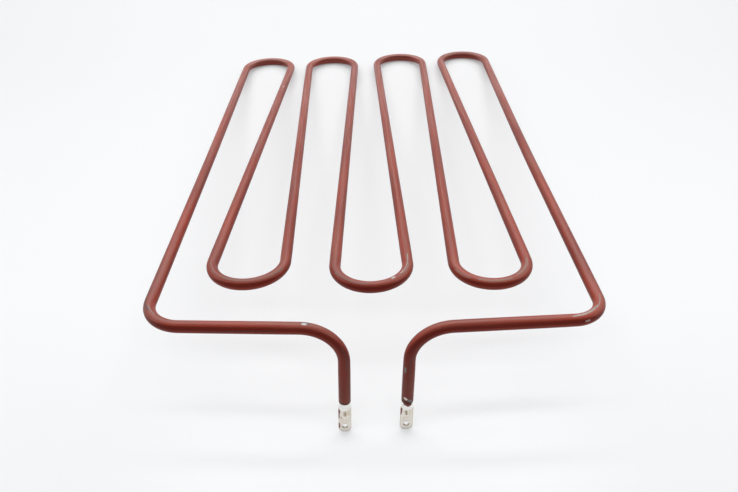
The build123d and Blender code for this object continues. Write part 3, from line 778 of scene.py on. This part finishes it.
# marks on the bushes: across, down from the sheath's end, front
BUSH_MARKS = {
    "left": [
        ([(-4.3, 4.6, 1.0), (-4.4, 5.6, 0.6)], 0.60, 0.30, PAINT, 0.9),
        ([(1.5, 3.2, 4.2), (3.0, 3.6, 3.4)], 0.45, 0.40, rgb(0.62, 0.56, 0.46), 0.5),
    ],
    "right": [
        ([(-2.4, 0.2, 3.8), (-1.0, 0.6, 4.4), (0.3, 1.3, 4.6), (1.2, 0.7, 4.3), (2.4, 0.2, 3.8)], 0.65, 0.30, rgb(0.10, 0.013, 0.010), 1.0),
        ([(-1.2, 0.2, 4.3), (0.3, 0.6, 4.5), (1.3, 0.1, 4.3)], 0.80, 0.30, rgb(0.165, 0.024, 0.018), 1.0),
        ([(-2.0, 0.5, 4.0), (-1.5, 0.8, 4.2)], 0.40, 0.30, rgb(0.38, 0.20, 0.14), 0.8),
        ([(-4.0, 5.0, 2.2), (-3.8, 5.6, 2.0)], 0.45, 0.30, PAINT, 0.7),
    ],
}
for side, sheath_end, tab_end in (("left", END_L, TAB_END_L), ("right", END_R, TAB_END_R)):
    bush = bush_mesh(side, sheath_end)
    set_material(bush, bush_material(side, BUSH_MARKS[side]))
    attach(bush, "root")
    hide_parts("end_bush_" + side)
    tab = tab_mesh(side, sheath_end + BUSH_LEN + TAB_GAP, tab_end)
    set_material(tab, tab_material(side, TAB_MARKS[side]))
    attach(tab, "root")
    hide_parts("terminal_tab_" + side)

mats = {
    "magnesia_fill": simple_material("magnesia", (0.62, 0.60, 0.55), (0.80, 0.78, 0.73), 0.9, 0.0, 1500.0, 0.3),
    "heating_coil": simple_material("resistance_wire", (0.30, 0.28, 0.25), (0.48, 0.45, 0.41), 0.4, 1.0, 1200.0, 0.2),
    "cold_pin_left": simple_material("pin_steel", (0.50, 0.47, 0.42), (0.66, 0.63, 0.58), 0.38, 1.0, 1200.0, 0.2),
    "cold_pin_right": None,
    "end_seal_left": simple_material("seal_rubber", (0.42, 0.10, 0.07), (0.52, 0.15, 0.10), 0.6, 0.0, 1200.0, 0.2),
    "end_seal_right": None,
}
for name in list(mats):
    mat = mats[name] or mats[name.replace("_right", "_left")]
    set_material(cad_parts[name], mat)

# ------------------------------------------------------------------ stage
bpy.ops.mesh.primitive_plane_add(size=8.0, location=(0, 0, 0))
floor = bpy.context.object
floor.name = "floor"
fm = Nodes("floor_white")
paper = fm.mix(fm.noise(fm.coords(), 2.2, 2.0, 0.5), rgb(0.380, 0.384, 0.389), rgb(0.394, 0.398, 0.403))
place = fm.coords()
# painted shading: the sheet is brighter at the front, darker at the back and darker towards the side corners
depth = fm.math("MULTIPLY", fm.vmath("DOT_PRODUCT", place, (0.0, 1.0, 0.0)), 1.0)
side_way = fm.math("ABSOLUTE", fm.vmath("DOT_PRODUCT", place, (1.0, 0.0, 0.0)))
spread = fm.math("DIVIDE", side_way, fm.math("MAXIMUM", fm.math("ADD", depth, 0.75), 0.40))
fall = fm.math("ADD", fm.ramp(depth, -0.34, -0.12, 0.070, 0.018), fm.ramp(depth, 0.05, 0.36, 0.0, 0.022))
level = fm.math("SUBTRACT", fm.ramp(depth, -0.36, 0.36, 1.045, 0.975), fm.math("MULTIPLY", fm.ramp(spread, 0.18, 0.50), fall))
fm.bsdf.inputs["Roughness"].default_value = 0.9
fm.bsdf.inputs["Specular IOR Level"].default_value = 0.1
fm.put(fm.bsdf.inputs["Base Color"], fm.vmath("MULTIPLY", paper, level))
# the sheet glows by its own emission, so shadows stay faint
fm.bsdf.inputs["Emission Color"].default_value = rgb(0.98, 0.99, 1.0)
# painted contact shadow: close under the tube the sheet's glow is dimmed by ambient occlusion
contact = fm.node("ShaderNodeAmbientOcclusion", samples=3)
contact.inputs["Distance"].default_value = 0.013
shade = fm.ramp(contact.outputs["AO"], 0.10, 0.95, 0.42, 1.0, smooth=False)
fm.put(fm.bsdf.inputs["Emission Strength"], fm.math("MULTIPLY", fm.math("MULTIPLY", level, 0.47), shade))
set_material(floor, fm.mat)

world = bpy.data.worlds.new("studio")
scene.world = world
world.use_nodes = True
bg = world.node_tree.nodes["Background"]
bg.inputs[0].default_value = (0.965, 0.985, 1.0, 1.0)
bg.inputs[1].default_value = 0.08


def area(name, location, target, size_x, size_y, power, glossy=True, colour=(1, 1, 1)):
    data = bpy.data.lights.new(name, "AREA")
    data.shape = "RECTANGLE"
    data.size, data.size_y = size_x, size_y
    data.energy = power
    data.color = colour
    obj = bpy.data.objects.new(name, data)
    scene.collection.objects.link(obj)
    obj.location = location
    direction = Vector(target) - Vector(location)
    obj.rotation_euler = direction.to_track_quat("-Z", "Y").to_euler()
    obj.visible_glossy = glossy
    return obj


# long lamps across the room: their offsets in Y put the shadows of the cross-runs where they fall
area("strip_front", (0, -1.45, 2.0), (0, -0.25, 0), 2.2, 0.20, 14.0, glossy=False)
area("strip_faint", (0, -0.736, 2.0), (0, -0.25, 0), 2.2, 0.20, 2.2, glossy=False)
area("strip_middle", (0, -0.225, 2.0), (0, -0.25, 0), 2.2, 0.20, 13.0, glossy=False)
area("strip_back", (0, 0.63, 2.0), (0, -0.25, 0), 2.2, 0.20, 12.0)
area("soft_back", (0, 2.30, 2.10), (0, 0.10, 0), 5.6, 2.0, 88.0)
area("soft_left", (-2.3, 0.3, 1.1), (0, 0.0, 0), 2.0, 1.0, 9.0)
area("soft_right", (2.3, 0.3, 1.1), (0, 0.0, 0), 2.0, 1.0, 9.0)

scene.view_settings.view_transform = "Standard"
scene.view_settings.look = "None"
scene.view_settings.exposure = 0.0
scene.view_settings.gamma = 1.0

# ----------------------------------------------------------------- camera
cam_data = bpy.data.cameras.new("camera")
cam = bpy.data.objects.new("camera", cam_data)
scene.collection.objects.link(cam)
scene.camera = cam
cam_data.sensor_width = 36.0
cam_data.sensor_fit = "HORIZONTAL"
cam_data.lens = 676.6406 * 36.0 / 738.0
right = Vector((0.9996596, -0.01520919, -0.02119837))
down = Vector((-0.02581962, -0.6933916, -0.72009821))
forward = Vector((-0.00374666, 0.72040042, -0.69354826))
rotation = Matrix((right, -down, -forward)).transposed()
cam.matrix_world = Matrix.Translation(Vector((0.68642359, -528.19745441, 432.55608413)) * MM) @ rotation.to_4x4()
cam_data.clip_start = 0.01
cam_data.clip_end = 50.0
